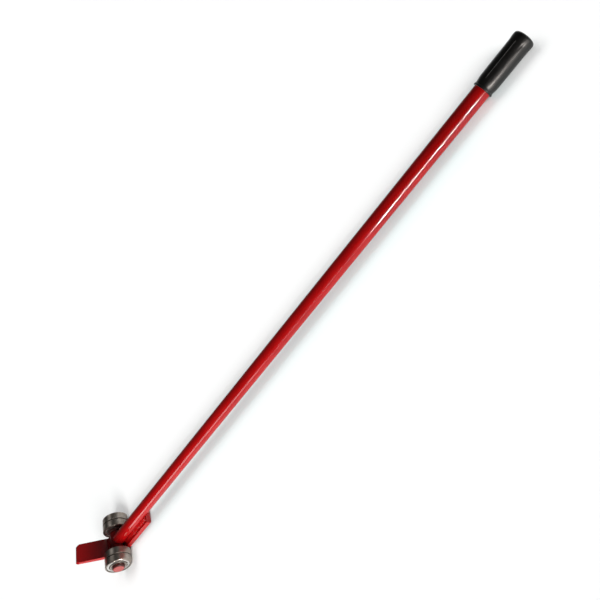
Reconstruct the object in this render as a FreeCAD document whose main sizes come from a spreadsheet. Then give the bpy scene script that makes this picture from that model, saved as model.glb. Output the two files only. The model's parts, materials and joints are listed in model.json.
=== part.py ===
import FreeCAD, Part
import os
import Sketcher

# Wheeled pry bar, about 1.2 m long, lying as it rests on a floor.
# Origin: on the floor, midway along the tool and midway between its rollers.
# +X runs from the toe to the grip, +Y to the tool's left side, +Z up. Millimetres.
#
# The frame pieces are drawn about the middle of the axle, with X along the tube.
# They are then laid down by a small tilt, so that rollers and grip both touch z = 0.

DIMENSIONS = {
    # where the tool lies
    "axle_x": -561.15,
    # foot plate: one flat bar bent to a toe and a shank
    "plate_width": 40.0,
    "plate_thick": 10.0,
    "shank_end": 104.0,
    "bend_x": -13.0,
    "bend_inner": 20.0,
    "toe_angle": 67.0,
    "crease_len": 34.9,
    "bevel_angle": 64.0,
    "bevel_len": 51.2,
    "tip_sagitta": 3.6,
    "tip_margin": 1.0,
    "tip_corner": 3.2,
    "bar_edge_round": 0.9,
    # handle tube
    "tube_od": 25.4,
    "tube_wall": 3.2,
    "tube_rise": 0.2,
    "tube_start": 13.5,
    "tube_end": 1174.0,
    # axle and spacer rings
    "axle_od": 25.0,
    "axle_len": 119.0,
    "axle_chamfer": 2.0,
    "spacer_od": 32.0,
    "spacer_len": 3.5,
    "spacer_chamfer": 0.6,
    "press_gap": 0.01,
    # welds
    "weld_foot": 14.8,
    "weld_root": 5.0,
    "weld_toe": 10.8,
    "weld_leg": 5.2,
    "weld_from": 20.0,
    "weld_to": 102.0,
    "collar_from": 5.0,
    "collar_crest": 10.5,
    "collar_low": 10.8,
    "collar_high": 11.9,
    "collar_end": 12.1,
    "seam_low": 14.0,
    "seam_high": 24.0,
    "seam_half": 18.5,
    "seam_axle_x": -9.0,
    "seam_axle_low": -3.5,
    "seam_axle_high": 7.0,
    # push-on grip
    "grip_start": 1097.0,
    "grip_end": 1177.5,
    "lip_od": 30.2,
    "lip_len": 2.4,
    "lip_fade": 1.2,
    "neck_od": 28.1,
    "neck_len": 5.5,
    "swell_len": 13.5,
    "grip_od": 30.2,
    "rim_od": 31.2,
    "rim_from": 14.0,
    "rim_len": 4.5,
    "end_round": 4.0,
    # ball bearings of the rollers, 25 x 52 x 15 mm
    "bearing_od": 52.0,
    "bearing_width": 15.0,
    "bearing_chamfer": 1.0,
    "side_play": 0.15,
    "inner_land_od": 34.0,
    "outer_land_od": 44.2,
    "ring_edge": 0.4,
    "pitch_od": 39.0,
    "ball_od": 7.94,
    "ball_play": 0.06,
    "race_od": 8.2,
    # pressed steel shields, seated in the outer rings
    "seat_od": 46.2,
    "seat_depth": 2.2,
    "shield_bore": 35.4,
    "shield_sheet": 0.6,
    "shield_depth": 1.05,
    "shield_slope": 0.45,
    # riveted ribbon cages
    "cage_in_od": 36.0,
    "cage_out_od": 42.0,
    "cage_sheet": 0.8,
    "pocket_od": 8.2,
    "rivet_od": 1.2,
    "rivet_head_od": 2.2,
    "rivet_head": 0.4,
}

BALLS = 9
FULL_TURN = 360
ROLLERS = [("left", 1), ("right", -1)]
PLACES = [("inboard", 0.5), ("outboard", 1.5)]
GRIP_DROP = "(Dim.bearing_od / 2 + Dim.tube_rise - Dim.rim_od / 2)"
TILT = f"asin({GRIP_DROP} / (Dim.grip_end - Dim.end_round))"
AXLE_HEIGHT = "Dim.bearing_od / 2"
INNER_FACE = "(Dim.plate_width / 2 + Dim.spacer_len)"


def make_document():
    """The document with its sheet of driving dimensions."""
    doc = FreeCAD.newDocument("WheeledPryBar")
    sheet = doc.addObject("Spreadsheet::Sheet", "Dim")
    for row, (alias, value) in enumerate(DIMENSIONS.items(), start=1):
        sheet.set(f"A{row}", alias)
        sheet.set(f"B{row}", str(value))
        sheet.setAlias(f"B{row}", alias)
    doc.recompute()
    return doc


def add_body(doc, label):
    """An empty body whose label is the sub-part's name."""
    body = doc.addObject("PartDesign::Body", label)
    body.Label = label
    return body


def lay_down(piece):
    """Place a frame piece: axle at its height, tool tilted onto the grip."""
    piece.Placement.Rotation = FreeCAD.Rotation(FreeCAD.Vector(0, 1, 0), 1)
    piece.setExpression("Placement.Rotation.Angle", TILT)
    piece.setExpression("Placement.Base.x", "Dim.axle_x")
    piece.setExpression("Placement.Base.z", AXLE_HEIGHT)


def place_on_axle(piece, offset, turned=False):
    """Place a round piece on the axle at a distance along Y, end for end if turned."""
    if turned:
        piece.Placement.Rotation = FreeCAD.Rotation(FreeCAD.Vector(1, 0, 0), 180)
    piece.setExpression("Placement.Base.x", "Dim.axle_x")
    piece.setExpression("Placement.Base.y", offset)
    piece.setExpression("Placement.Base.z", AXLE_HEIGHT)


def origin_part(body, role):
    """One of a body's own origin planes or axes."""
    for feature in body.Origin.OriginFeatures:
        if feature.Role == role:
            return feature
    raise RuntimeError(f"{body.Label} has no {role}")


def add_sketch(body, plane, name, offset=None):
    """A sketch on one of the body's own origin planes, moved out along its normal."""
    sketch = body.newObject("Sketcher::SketchObject", name)
    sketch.AttachmentSupport = (origin_part(body, plane), [""])
    sketch.MapMode = "FlatFace"
    if offset:
        sketch.setExpression("AttachmentOffset.Base.z", offset)
    return sketch


def bind(sketch, kind, where, text):
    """A sketch dimension driven by an expression."""
    value = float(sketch.evalExpression(text))
    index = sketch.addConstraint(Sketcher.Constraint(kind, *where, value))
    sketch.setExpression(f"Constraints[{index}]", text)


def bind_point(sketch, geometry, point, across, up):
    """Both coordinates of a sketch point, measured from the sketch's origin."""
    bind(sketch, "DistanceX", (-1, 1, geometry, point), across)
    bind(sketch, "DistanceY", (-1, 1, geometry, point), up)


def draw_outline(sketch, corners):
    """A closed outline of straight edges through corners given as expressions."""
    points = []
    for across, up in corners:
        x = float(sketch.evalExpression(across))
        y = float(sketch.evalExpression(up))
        points.append(FreeCAD.Vector(x, y, 0))
    first = sketch.GeometryCount
    for index, start in enumerate(points):
        end = points[(index + 1) % len(points)]
        sketch.addGeometry(Part.LineSegment(start, end), False)
    for index, (across, up) in enumerate(corners):
        following = first + (index + 1) % len(points)
        sketch.addConstraint(Sketcher.Constraint("Coincident", first + index, 2, following, 1))
        bind_point(sketch, first + index, 1, across, up)


def draw_circle(sketch, radius, across="0", up="0"):
    """A circle whose radius and centre are expressions."""
    x = float(sketch.evalExpression(across))
    y = float(sketch.evalExpression(up))
    size = float(sketch.evalExpression(radius))
    circle = Part.Circle(FreeCAD.Vector(x, y, 0), FreeCAD.Vector(0, 0, 1), size)
    index = sketch.addGeometry(circle, False)
    bind_point(sketch, index, 3, across, up)
    bind(sketch, "Radius", (index,), radius)


def revolve(body, sketch, axis, name="turned", kind="PartDesign::Revolution"):
    """Turn a sketch once about one of its own axes, adding or cutting."""
    feature = body.newObject(kind, name)
    feature.Profile = sketch
    feature.ReferenceAxis = (sketch, [axis])
    feature.Angle = FULL_TURN
    return feature


def pad(body, sketch, length, name="pad", symmetric=False):
    """Extrude a sketch along its normal, or to both sides of its plane."""
    feature = body.newObject("PartDesign::Pad", name)
    feature.Profile = sketch
    feature.Midplane = symmetric
    feature.setExpression("Length", length)
    return feature


def cut_through(doc, body, sketch, name):
    """Cut a sketch right through the body, both ways, and make sure it cut."""
    before = body.Shape.Volume
    feature = body.newObject("PartDesign::Pocket", name)
    feature.Profile = sketch
    feature.Type = "ThroughAll"
    feature.Midplane = True
    doc.recompute()
    if feature.Shape.Volume >= before:
        raise RuntimeError(f"{body.Label}: {name} cut nothing")
    return feature


def pattern_round_y(body, features, name):
    """Repeat features once per ball, round the body's Y axis."""
    pattern = body.newObject("PartDesign::PolarPattern", name)
    pattern.Originals = features
    pattern.Axis = (origin_part(body, "Y_Axis"), [""])
    pattern.Angle = FULL_TURN
    pattern.Occurrences = BALLS
    body.Tip = pattern
    return pattern


def edges_that(shape, wanted):
    """Names of the edges whose middle point passes a test."""
    names = []
    for index, edge in enumerate(shape.Edges, start=1):
        middle = edge.valueAt((edge.FirstParameter + edge.LastParameter) / 2)
        if wanted(edge, middle):
            names.append(f"Edge{index}")
    return names


def round_edges(body, base, names, radius, label="round", kind="PartDesign::Fillet"):
    """Round, or chamfer, named edges of the body's last feature."""
    feature = body.newObject(kind, label)
    feature.Base = (base, names)
    size = "Radius" if kind.endswith("Fillet") else "Size"
    feature.setExpression(size, radius)
    return feature


# ---- foot plate ----

def plate_corners():
    """Side outline of the bent bar: shank top, bend, crease, tip, and back below."""
    top = "-Dim.axle_od / 2"
    below = f"({top} - Dim.plate_thick)"
    crease_x = "(Dim.bend_x - Dim.crease_len * cos(Dim.toe_angle))"
    crease_z = f"({top} + Dim.crease_len * sin(Dim.toe_angle))"
    tip_x = f"({crease_x} - Dim.bevel_len * cos(Dim.bevel_angle))"
    tip_z = f"({crease_z} + Dim.bevel_len * sin(Dim.bevel_angle))"
    tip_thick = "(Dim.plate_thick - Dim.bevel_len * sin(Dim.toe_angle - Dim.bevel_angle))"
    return [
        ("Dim.shank_end", top),
        ("Dim.bend_x", top),
        (crease_x, crease_z),
        (tip_x, tip_z),
        (f"{tip_x} - {tip_thick} * sin(Dim.toe_angle)", f"{tip_z} - {tip_thick} * cos(Dim.toe_angle)"),
        ("Dim.bend_x - Dim.plate_thick * tan(Dim.toe_angle / 2)", below),
        ("Dim.shank_end", below),
    ]


def draw_tip_cut(sketch):
    """Everything above a shallow arc, which gives the toe its bowed tip."""
    tip_z = plate_corners()[3][1]
    half = "(Dim.plate_width / 2 + Dim.tip_margin)"
    bow = f"(({half} * {half} + Dim.tip_sagitta * Dim.tip_sagitta) / (2 * Dim.tip_sagitta))"
    shoulder = f"({tip_z} - Dim.tip_sagitta)"
    above = f"({tip_z} + Dim.plate_thick)"
    x = float(sketch.evalExpression(half))
    low = float(sketch.evalExpression(shoulder))
    crown = float(sketch.evalExpression(tip_z))
    high = float(sketch.evalExpression(above))
    corner = [FreeCAD.Vector(x, low, 0), FreeCAD.Vector(x, high, 0),
              FreeCAD.Vector(-x, high, 0), FreeCAD.Vector(-x, low, 0)]
    sketch.addGeometry(Part.Arc(corner[0], FreeCAD.Vector(0, crown, 0), corner[3]), False)
    for index in range(3):
        sketch.addGeometry(Part.LineSegment(corner[index], corner[index + 1]), False)
    for first, second in [((0, 1), (1, 1)), ((1, 2), (2, 1)), ((2, 2), (3, 1)), ((3, 2), (0, 2))]:
        sketch.addConstraint(Sketcher.Constraint("Coincident", *first, *second))
    bind_point(sketch, 1, 1, half, shoulder)
    bind_point(sketch, 1, 2, half, above)
    bind_point(sketch, 2, 2, f"-{half}", above)
    bind_point(sketch, 3, 2, f"-{half}", shoulder)
    bind(sketch, "Radius", (0,), bow)


def make_foot_plate(doc):
    body = add_body(doc, "foot_plate")
    side = add_sketch(body, "XZ_Plane", "plate_side")
    draw_outline(side, plate_corners())
    bar = pad(body, side, "Dim.plate_width", "bar", symmetric=True)
    doc.recompute()

    half = DIMENSIONS["plate_width"] / 2
    bend_top = side.getPoint(1, 1)
    bend_below = side.getPoint(5, 1)

    def at_corner(corner):
        return lambda edge, middle: abs(middle.x - corner.x) + abs(middle.z - corner.y) < 0.01

    inner = round_edges(body, bar, edges_that(bar.Shape, at_corner(bend_top)),
                        "Dim.bend_inner", "bend_inside")
    doc.recompute()
    outer = round_edges(body, inner, edges_that(inner.Shape, at_corner(bend_below)),
                        "Dim.bend_inner + Dim.plate_thick", "bend_outside")
    doc.recompute()

    outline = add_sketch(body, "YZ_Plane", "tip_outline")
    draw_tip_cut(outline)
    bowed = cut_through(doc, body, outline, "bowed_tip")

    def on_side(point):
        return abs(abs(point.y) - half) < 0.01

    shoulder = max(vertex.Z for vertex in bowed.Shape.Vertexes if on_side(vertex.Point))

    def at_tip(edge, middle):
        return on_side(middle) and abs(middle.z - shoulder) < 0.01

    corners = edges_that(bowed.Shape, at_tip)
    cornered = round_edges(body, bowed, corners, "Dim.tip_corner", "tip_corners", "PartDesign::Chamfer")
    doc.recompute()

    def along_bar(edge, middle):
        return on_side(middle) and edge.Length > DIMENSIONS["plate_thick"]

    long_edges = edges_that(cornered.Shape, along_bar)
    round_edges(body, cornered, long_edges, "Dim.bar_edge_round", "rolled_edges")
    lay_down(body)
    return body


# ---- handle ----

def make_tube(doc):
    body = add_body(doc, "tube")
    ring = add_sketch(body, "YZ_Plane", "tube_ring", "Dim.tube_start")
    draw_circle(ring, "Dim.tube_od / 2", up="Dim.tube_rise")
    draw_circle(ring, "Dim.tube_od / 2 - Dim.tube_wall", up="Dim.tube_rise")
    pad(body, ring, "Dim.tube_end - Dim.tube_start", "tube_length")
    lay_down(body)
    return body


def make_grip(doc):
    """Push-on grip: rolled lip, neck, swelling body, rounded rim and closed end."""
    lip = "Dim.lip_od / 2"
    neck = "Dim.neck_od / 2"
    rim = "Dim.rim_od / 2"
    bore = "Dim.tube_od / 2"
    start = "Dim.grip_start"
    end = "Dim.grip_end"
    rim_end = f"{end} - Dim.end_round"
    rim_start = f"{rim_end} - Dim.rim_len"
    rise = "Dim.tube_rise"
    corners = [
        (start, bore),
        (start, lip),
        (f"{start} + Dim.lip_len", lip),
        (f"{start} + Dim.lip_len + Dim.lip_fade", neck),
        (f"{start} + Dim.neck_len", neck),
        (f"{start} + Dim.swell_len", "Dim.grip_od / 2"),
        (f"{end} - Dim.rim_from", "Dim.grip_od / 2"),
        (rim_start, rim),
        (rim_end, rim),
        (end, f"{rim} - Dim.end_round"),
        (end, "0"),
        ("Dim.tube_end", "0"),
        ("Dim.tube_end", bore),
    ]
    body = add_body(doc, "grip")
    profile = add_sketch(body, "XZ_Plane", "grip_profile")
    profile.setExpression("AttachmentOffset.Base.y", rise)
    draw_outline(profile, corners)
    revolve(body, profile, "H_Axis", "moulding")
    lay_down(body)
    return body


# ---- axle ----

def make_axle(doc):
    body = add_body(doc, "axle")
    section = add_sketch(body, "XZ_Plane", "axle_section")
    draw_circle(section, "Dim.axle_od / 2")
    bar = pad(body, section, "Dim.axle_len", "round_bar", symmetric=True)
    doc.recompute()
    rims = edges_that(bar.Shape, lambda edge, middle: edge.Closed)
    round_edges(body, bar, rims, "Dim.axle_chamfer", "end_chamfers", "PartDesign::Chamfer")
    lay_down(body)
    return body


def make_spacer(doc, side, sign):
    """Plain ring that keeps the inboard bearing off the foot plate."""
    outer = "Dim.spacer_od / 2"
    bore = "(Dim.axle_od / 2 + Dim.press_gap)"
    half = "Dim.spacer_len / 2"
    edge = "Dim.spacer_chamfer"
    body = add_body(doc, f"{side}_spacer")
    profile = add_sketch(body, "XY_Plane", "spacer_profile")
    draw_outline(profile, [
        (bore, f"-{half}"),
        (f"{outer} - {edge}", f"-{half}"),
        (outer, f"-{half} + {edge}"),
        (outer, f"{half} - {edge}"),
        (f"{outer} - {edge}", half),
        (bore, half),
    ])
    revolve(body, profile, "V_Axis", "turned_ring")
    place_on_axle(body, f"{sign} * (Dim.plate_width / 2 + {half})")
    return body


# ---- welds ----

def make_side_weld(doc, side, sign):
    """Fillet weld in the wedge between the tube and the shank."""
    plate = "-Dim.axle_od / 2"
    body = add_body(doc, f"{side}_tube_weld")
    section = add_sketch(body, "YZ_Plane", "bead_section", "Dim.weld_from")
    draw_outline(section, [
        (f"{sign} * Dim.weld_root", plate),
        (f"{sign} * Dim.weld_foot", plate),
        (f"{sign} * Dim.weld_toe", f"{plate} + Dim.weld_leg"),
        (f"{sign} * Dim.weld_root", f"{plate} + Dim.weld_leg"),
    ])
    pad(body, section, "Dim.weld_to - Dim.weld_from", "bead")
    doc.recompute()
    tube = add_sketch(body, "YZ_Plane", "tube_surface")
    draw_circle(tube, "Dim.tube_od / 2", up="Dim.tube_rise")
    cut_through(doc, body, tube, "tube_seat")
    lay_down(body)
    return body


def make_collar_weld(doc):
    """Weld collar round the tube's lower end, where it butts on the axle."""
    body = add_body(doc, "tube_end_weld")
    bore = "Dim.tube_od / 2 - Dim.tube_wall"
    profile = add_sketch(body, "XZ_Plane", "collar_profile")
    profile.setExpression("AttachmentOffset.Base.y", "Dim.tube_rise")
    draw_outline(profile, [
        ("Dim.collar_from", bore),
        ("Dim.collar_from", "Dim.collar_low"),
        ("Dim.collar_crest", "Dim.collar_high"),
        ("Dim.tube_start", "Dim.collar_end"),
        ("Dim.tube_start", bore),
    ])
    revolve(body, profile, "H_Axis", "collar")
    doc.recompute()

    side = add_sketch(body, "XZ_Plane", "axle_and_plate")
    draw_circle(side, "Dim.axle_od / 2")
    cut_through(doc, body, side, "axle_seat")
    lay_down(body)
    return body


def make_toe_weld(doc):
    """Weld seam that fills the gap between the axle and the rising toe."""
    def on_toe(distance):
        return (f"Dim.bend_x - {distance} * cos(Dim.toe_angle)",
                f"-Dim.axle_od / 2 + {distance} * sin(Dim.toe_angle)")

    body = add_body(doc, "toe_weld")
    section = add_sketch(body, "XZ_Plane", "seam_section")
    draw_outline(section, [
        on_toe("Dim.seam_low"),
        on_toe("Dim.seam_high"),
        ("Dim.seam_axle_x", "Dim.seam_axle_high"),
        ("Dim.seam_axle_x", "Dim.seam_axle_low"),
    ])
    pad(body, section, "2 * Dim.seam_half", "seam", symmetric=True)
    doc.recompute()
    axle = add_sketch(body, "XZ_Plane", "axle_surface")
    draw_circle(axle, "Dim.axle_od / 2")
    cut_through(doc, body, axle, "axle_seat")
    lay_down(body)
    return body


# ---- ball bearings ----

def make_inner_ring(doc, label, offset):
    """Inner ring with its ball groove, pressed on the axle."""
    bore = "(Dim.axle_od / 2 + Dim.press_gap)"
    land = "Dim.inner_land_od / 2"
    half = "Dim.bearing_width / 2"
    body = add_body(doc, label)
    profile = add_sketch(body, "XY_Plane", "ring_profile")
    draw_outline(profile, [
        (f"{bore} + Dim.bearing_chamfer", f"-{half}"),
        (f"{land} - Dim.ring_edge", f"-{half}"),
        (land, f"-{half} + Dim.ring_edge"),
        (land, f"{half} - Dim.ring_edge"),
        (f"{land} - Dim.ring_edge", half),
        (f"{bore} + Dim.bearing_chamfer", half),
        (bore, f"{half} - Dim.bearing_chamfer"),
        (bore, f"-{half} + Dim.bearing_chamfer"),
    ])
    revolve(body, profile, "V_Axis", "ring")
    doc.recompute()
    before = body.Shape.Volume
    groove = add_sketch(body, "XY_Plane", "groove_circle")
    bottom = "(Dim.pitch_od / 2 - Dim.ball_od / 2 - Dim.ball_play)"
    draw_circle(groove, "Dim.race_od / 2", f"{bottom} + Dim.race_od / 2")
    revolve(body, groove, "V_Axis", "ball_groove", "PartDesign::Groove")
    doc.recompute()
    if body.Shape.Volume >= before:
        raise RuntimeError(f"{label}: the ball groove cut nothing")
    place_on_axle(body, offset)
    return body


def make_outer_ring(doc, label, offset):
    """Outer ring, which is the roller's tread, with ball groove and shield seats."""
    outer = "Dim.bearing_od / 2"
    land = "Dim.outer_land_od / 2"
    seat = "Dim.seat_od / 2"
    half = "(Dim.bearing_width / 2 - Dim.side_play)"
    shoulder = "(Dim.bearing_width / 2 - Dim.seat_depth)"
    body = add_body(doc, label)
    profile = add_sketch(body, "XY_Plane", "ring_profile")
    draw_outline(profile, [
        (f"{outer} - Dim.bearing_chamfer", f"-{half}"),
        (outer, f"-{half} + Dim.bearing_chamfer"),
        (outer, f"{half} - Dim.bearing_chamfer"),
        (f"{outer} - Dim.bearing_chamfer", half),
        (seat, half),
        (seat, shoulder),
        (land, shoulder),
        (land, f"-{shoulder}"),
        (seat, f"-{shoulder}"),
        (seat, f"-{half}"),
    ])
    revolve(body, profile, "V_Axis", "ring")
    doc.recompute()
    before = body.Shape.Volume
    groove = add_sketch(body, "XY_Plane", "groove_circle")
    bottom = "(Dim.pitch_od / 2 + Dim.ball_od / 2 + Dim.ball_play)"
    draw_circle(groove, "Dim.race_od / 2", f"{bottom} - Dim.race_od / 2")
    revolve(body, groove, "V_Axis", "ball_groove", "PartDesign::Groove")
    doc.recompute()
    if body.Shape.Volume >= before:
        raise RuntimeError(f"{label}: the ball groove cut nothing")
    place_on_axle(body, offset)
    return body


def make_shield(doc, label, offset, turned):
    """Dished sheet ring pressed into the outer ring's seat."""
    seat = "Dim.seat_od / 2"
    land = "Dim.outer_land_od / 2"
    bore = "Dim.shield_bore / 2"
    face = "(Dim.bearing_width / 2 - Dim.shield_depth)"
    shoulder = "(Dim.bearing_width / 2 - Dim.seat_depth)"
    body = add_body(doc, label)
    profile = add_sketch(body, "XY_Plane", "shield_profile")
    draw_outline(profile, [
        (bore, f"{face} - Dim.shield_sheet"),
        (land, f"{face} - Dim.shield_sheet"),
        (land, shoulder),
        (seat, shoulder),
        (seat, f"{face} - Dim.shield_slope"),
        (f"{seat} - Dim.shield_slope", face),
        (bore, face),
    ])
    revolve(body, profile, "V_Axis", "pressing")
    place_on_axle(body, offset, turned)
    return body


def make_balls(doc, label, offset):
    """The ring of balls, each a solid of its own."""
    body = add_body(doc, label)
    body.AllowCompound = True
    ball = body.newObject("PartDesign::AdditiveSphere", "ball")
    ball.setExpression("Radius", "Dim.ball_od / 2")
    ball.setExpression("Placement.Base.x", "Dim.pitch_od / 2")
    pattern_round_y(body, [ball], "ball_set")
    place_on_axle(body, offset)
    return body


def make_cage_half(doc, label, offset, turned):
    """Half of the ribbon cage: a flat ring with a half-round pocket over each ball."""
    inner = "Dim.cage_in_od / 2"
    outer = "Dim.cage_out_od / 2"
    depth = f"{outer} - {inner}"
    body = add_body(doc, label)
    ring = add_sketch(body, "XZ_Plane", "ribbon_ring")
    draw_circle(ring, outer)
    draw_circle(ring, inner)
    flat = pad(body, ring, "Dim.cage_sheet", "ribbon")
    flat.Reversed = True
    doc.recompute()

    hood = add_sketch(body, "YZ_Plane", "hood_section", inner)
    draw_half_disc(hood, "Dim.pocket_od / 2 + Dim.cage_sheet")
    hood_pad = pad(body, hood, depth, "hood")
    pattern_round_y(body, [hood_pad], "hoods")
    doc.recompute()
    before = body.Shape.Volume

    pocket = add_sketch(body, "YZ_Plane", "pocket_section", f"{inner} - Dim.cage_sheet")
    draw_circle(pocket, "Dim.pocket_od / 2")
    opening = body.newObject("PartDesign::Pocket", "pocket")
    opening.Profile = pocket
    opening.Reversed = True
    opening.setExpression("Length", f"{depth} + Dim.cage_sheet")
    pattern_round_y(body, [opening], "pockets")
    doc.recompute()
    if body.Shape.Volume >= before:
        raise RuntimeError(f"{label}: the ball pockets cut nothing")

    before = body.Shape.Volume
    drill = add_sketch(body, "XZ_Plane", "rivet_hole")
    draw_circle(drill, "Dim.rivet_od / 2", *between_balls())
    hole = body.newObject("PartDesign::Pocket", "hole")
    hole.Profile = drill
    hole.Type = "ThroughAll"
    hole.Midplane = True
    pattern_round_y(body, [hole], "rivet_holes")
    doc.recompute()
    if body.Shape.Volume >= before:
        raise RuntimeError(f"{label}: the rivet holes cut nothing")
    place_on_axle(body, offset, turned)
    return body


def between_balls():
    """The place of the first rivet, halfway between two balls."""
    half_step = FULL_TURN / BALLS / 2
    return (f"Dim.pitch_od / 2 * cos({half_step})", f"Dim.pitch_od / 2 * sin({half_step})")


def draw_half_disc(sketch, radius):
    """The right half of a disc about the sketch's origin."""
    size = float(sketch.evalExpression(radius))
    top = FreeCAD.Vector(0, size, 0)
    bottom = FreeCAD.Vector(0, -size, 0)
    sketch.addGeometry(Part.Arc(bottom, FreeCAD.Vector(size, 0, 0), top), False)
    sketch.addGeometry(Part.LineSegment(top, bottom), False)
    sketch.addConstraint(Sketcher.Constraint("Coincident", 0, 2, 1, 1))
    sketch.addConstraint(Sketcher.Constraint("Coincident", 1, 2, 0, 1))
    sketch.addConstraint(Sketcher.Constraint("Coincident", 0, 3, -1, 1))
    sketch.addConstraint(Sketcher.Constraint("Vertical", 1))
    bind(sketch, "Radius", (0,), radius)


def make_rivets(doc, label, offset):
    """The rivets between the balls, each with a head on both sides."""
    across, up = between_balls()
    body = add_body(doc, label)
    body.AllowCompound = True
    shank = add_sketch(body, "XZ_Plane", "shank_circle")
    draw_circle(shank, "Dim.rivet_od / 2", across, up)
    rod = pad(body, shank, "2 * Dim.cage_sheet", "shank", symmetric=True)
    features = [rod]
    for name, start in [("near_head", "Dim.cage_sheet"), ("far_head", "-Dim.cage_sheet - Dim.rivet_head")]:
        circle = add_sketch(body, "XZ_Plane", f"{name}_circle", start)
        draw_circle(circle, "Dim.rivet_head_od / 2", across, up)
        features.append(pad(body, circle, "Dim.rivet_head", name))
    pattern_round_y(body, features, "rivet_set")
    place_on_axle(body, offset)
    return body


def make_bearing(doc, side, sign, place, steps):
    """All the pieces of one ball bearing, at its place on the axle."""
    name = f"{side}_{place}"
    offset = f"{sign} * ({INNER_FACE} + {steps} * Dim.bearing_width)"
    pieces = [
        make_inner_ring(doc, f"{name}_inner_ring", offset),
        make_outer_ring(doc, f"{name}_outer_ring", offset),
        make_balls(doc, f"{name}_balls", offset),
        make_rivets(doc, f"{name}_cage_rivets", offset),
    ]
    for end, faces_out in [("in", False), ("out", True)]:
        turned = faces_out != (sign > 0)
        pieces.append(make_shield(doc, f"{name}_shield_{end}", offset, turned))
        pieces.append(make_cage_half(doc, f"{name}_cage_half_{end}", offset, turned))
    return pieces


def make_pieces(doc):
    """Every sub-part of the tool."""
    pieces = [
        make_foot_plate(doc),
        make_tube(doc),
        make_grip(doc),
        make_axle(doc),
        make_collar_weld(doc),
        make_toe_weld(doc),
    ]
    for side, sign in ROLLERS:
        pieces.append(make_side_weld(doc, side, sign))
        pieces.append(make_spacer(doc, side, sign))
        for place, steps in PLACES:
            pieces.extend(make_bearing(doc, side, sign, place, steps))
    return pieces


def check(doc, pieces):
    """Stop if anything failed, or if the tool isn't centred over the origin."""
    for item in doc.Objects:
        if "Invalid" in item.State or "Error" in item.State:
            raise RuntimeError(f"{item.Label} failed: {item.State}")
    box = FreeCAD.BoundBox()
    for piece in pieces:
        if piece.Shape.isNull() or not piece.Shape.isValid():
            raise RuntimeError(f"{piece.Label} has no valid shape")
        box.add(piece.Shape.BoundBox)
    print("box", box)
    slack = 0.1
    if abs(box.Center.x) > slack or abs(box.ZMin) > slack:
        raise RuntimeError(f"the origin is off the tool's base centre: {box.Center.x}, {box.ZMin}")


def export(pieces):
    """One STEP file per sub-part, named after it."""
    os.makedirs("parts", exist_ok=True)
    for piece in pieces:
        piece.Shape.exportStep(f"parts/{piece.Label}.step")
        print(f"{piece.Label}: {len(piece.Shape.Solids)} solids, {piece.Shape.Volume:.1f} mm3")


document = make_document()
sub_parts = make_pieces(document)
document.recompute()
check(document, sub_parts)
export(sub_parts)
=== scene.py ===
import json
import math
import random

import bmesh
import bpy
from mathutils import Matrix, Vector, noise

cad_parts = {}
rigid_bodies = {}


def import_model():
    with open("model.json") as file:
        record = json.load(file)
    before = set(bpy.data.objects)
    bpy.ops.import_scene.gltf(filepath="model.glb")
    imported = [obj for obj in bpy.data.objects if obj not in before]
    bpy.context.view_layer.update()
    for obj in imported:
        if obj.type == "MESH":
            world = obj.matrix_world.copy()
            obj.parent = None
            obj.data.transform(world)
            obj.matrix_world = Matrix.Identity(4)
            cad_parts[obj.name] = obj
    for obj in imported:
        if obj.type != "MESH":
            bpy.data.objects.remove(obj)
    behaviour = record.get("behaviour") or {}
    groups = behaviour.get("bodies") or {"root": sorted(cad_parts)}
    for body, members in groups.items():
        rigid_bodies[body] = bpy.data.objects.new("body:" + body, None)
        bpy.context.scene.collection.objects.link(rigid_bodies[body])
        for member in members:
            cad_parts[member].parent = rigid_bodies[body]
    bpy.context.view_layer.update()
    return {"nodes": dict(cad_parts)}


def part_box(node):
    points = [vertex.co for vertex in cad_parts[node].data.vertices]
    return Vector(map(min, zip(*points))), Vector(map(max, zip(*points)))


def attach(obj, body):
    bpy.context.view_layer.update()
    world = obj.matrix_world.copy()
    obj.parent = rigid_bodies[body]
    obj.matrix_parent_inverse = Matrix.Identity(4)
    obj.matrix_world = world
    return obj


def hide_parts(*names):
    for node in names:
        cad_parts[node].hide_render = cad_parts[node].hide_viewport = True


# Looks of the wheeled pry bar. Lengths are in metres in the object's frame, unless a name ends in _MM.
# Tool coordinates: millimetres from the middle of the axle, X along the handle tube, Z up.
# The tool lies on its rollers and the rim of its grip, so the tube slopes down towards the grip.

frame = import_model()

MM = 0.001
GRIP_DROP_MM = 10.6
GRIP_REACH_MM = 1173.5
TUBE_RADIUS_MM = 12.7
TUBE_RISE_MM = 0.2
TUBE_END_MM = 1174.0
PLATE_TOP_MM = -12.5

axle_low, axle_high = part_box("axle")
AXLE = (axle_low + axle_high) / 2
TILT = math.asin(GRIP_DROP_MM / GRIP_REACH_MM)
TOOL = Matrix.Translation(AXLE) @ Matrix.Rotation(TILT, 4, "Y") @ Matrix.Scale(MM, 4)
FROM_FRAME = TOOL.inverted()


# ---- helpers for materials ----

TURN_MARK_SHARE = 0.012


def new_material(name):
    """A node material: returns it, its tree and its Principled shader."""
    material = bpy.data.materials.new(name)
    material.use_nodes = True
    tree = material.node_tree
    return material, tree, tree.nodes["Principled BSDF"]


def frame_place(tree):
    """Place in the object's frame, in metres."""
    return tree.nodes.new("ShaderNodeTexCoord").outputs["Object"]


def axes_of(tree, place):
    """The place's X, Y and Z."""
    apart = tree.nodes.new("ShaderNodeSeparateXYZ")
    tree.links.new(place, apart.inputs[0])
    return apart.outputs["X"], apart.outputs["Y"], apart.outputs["Z"]


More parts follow.
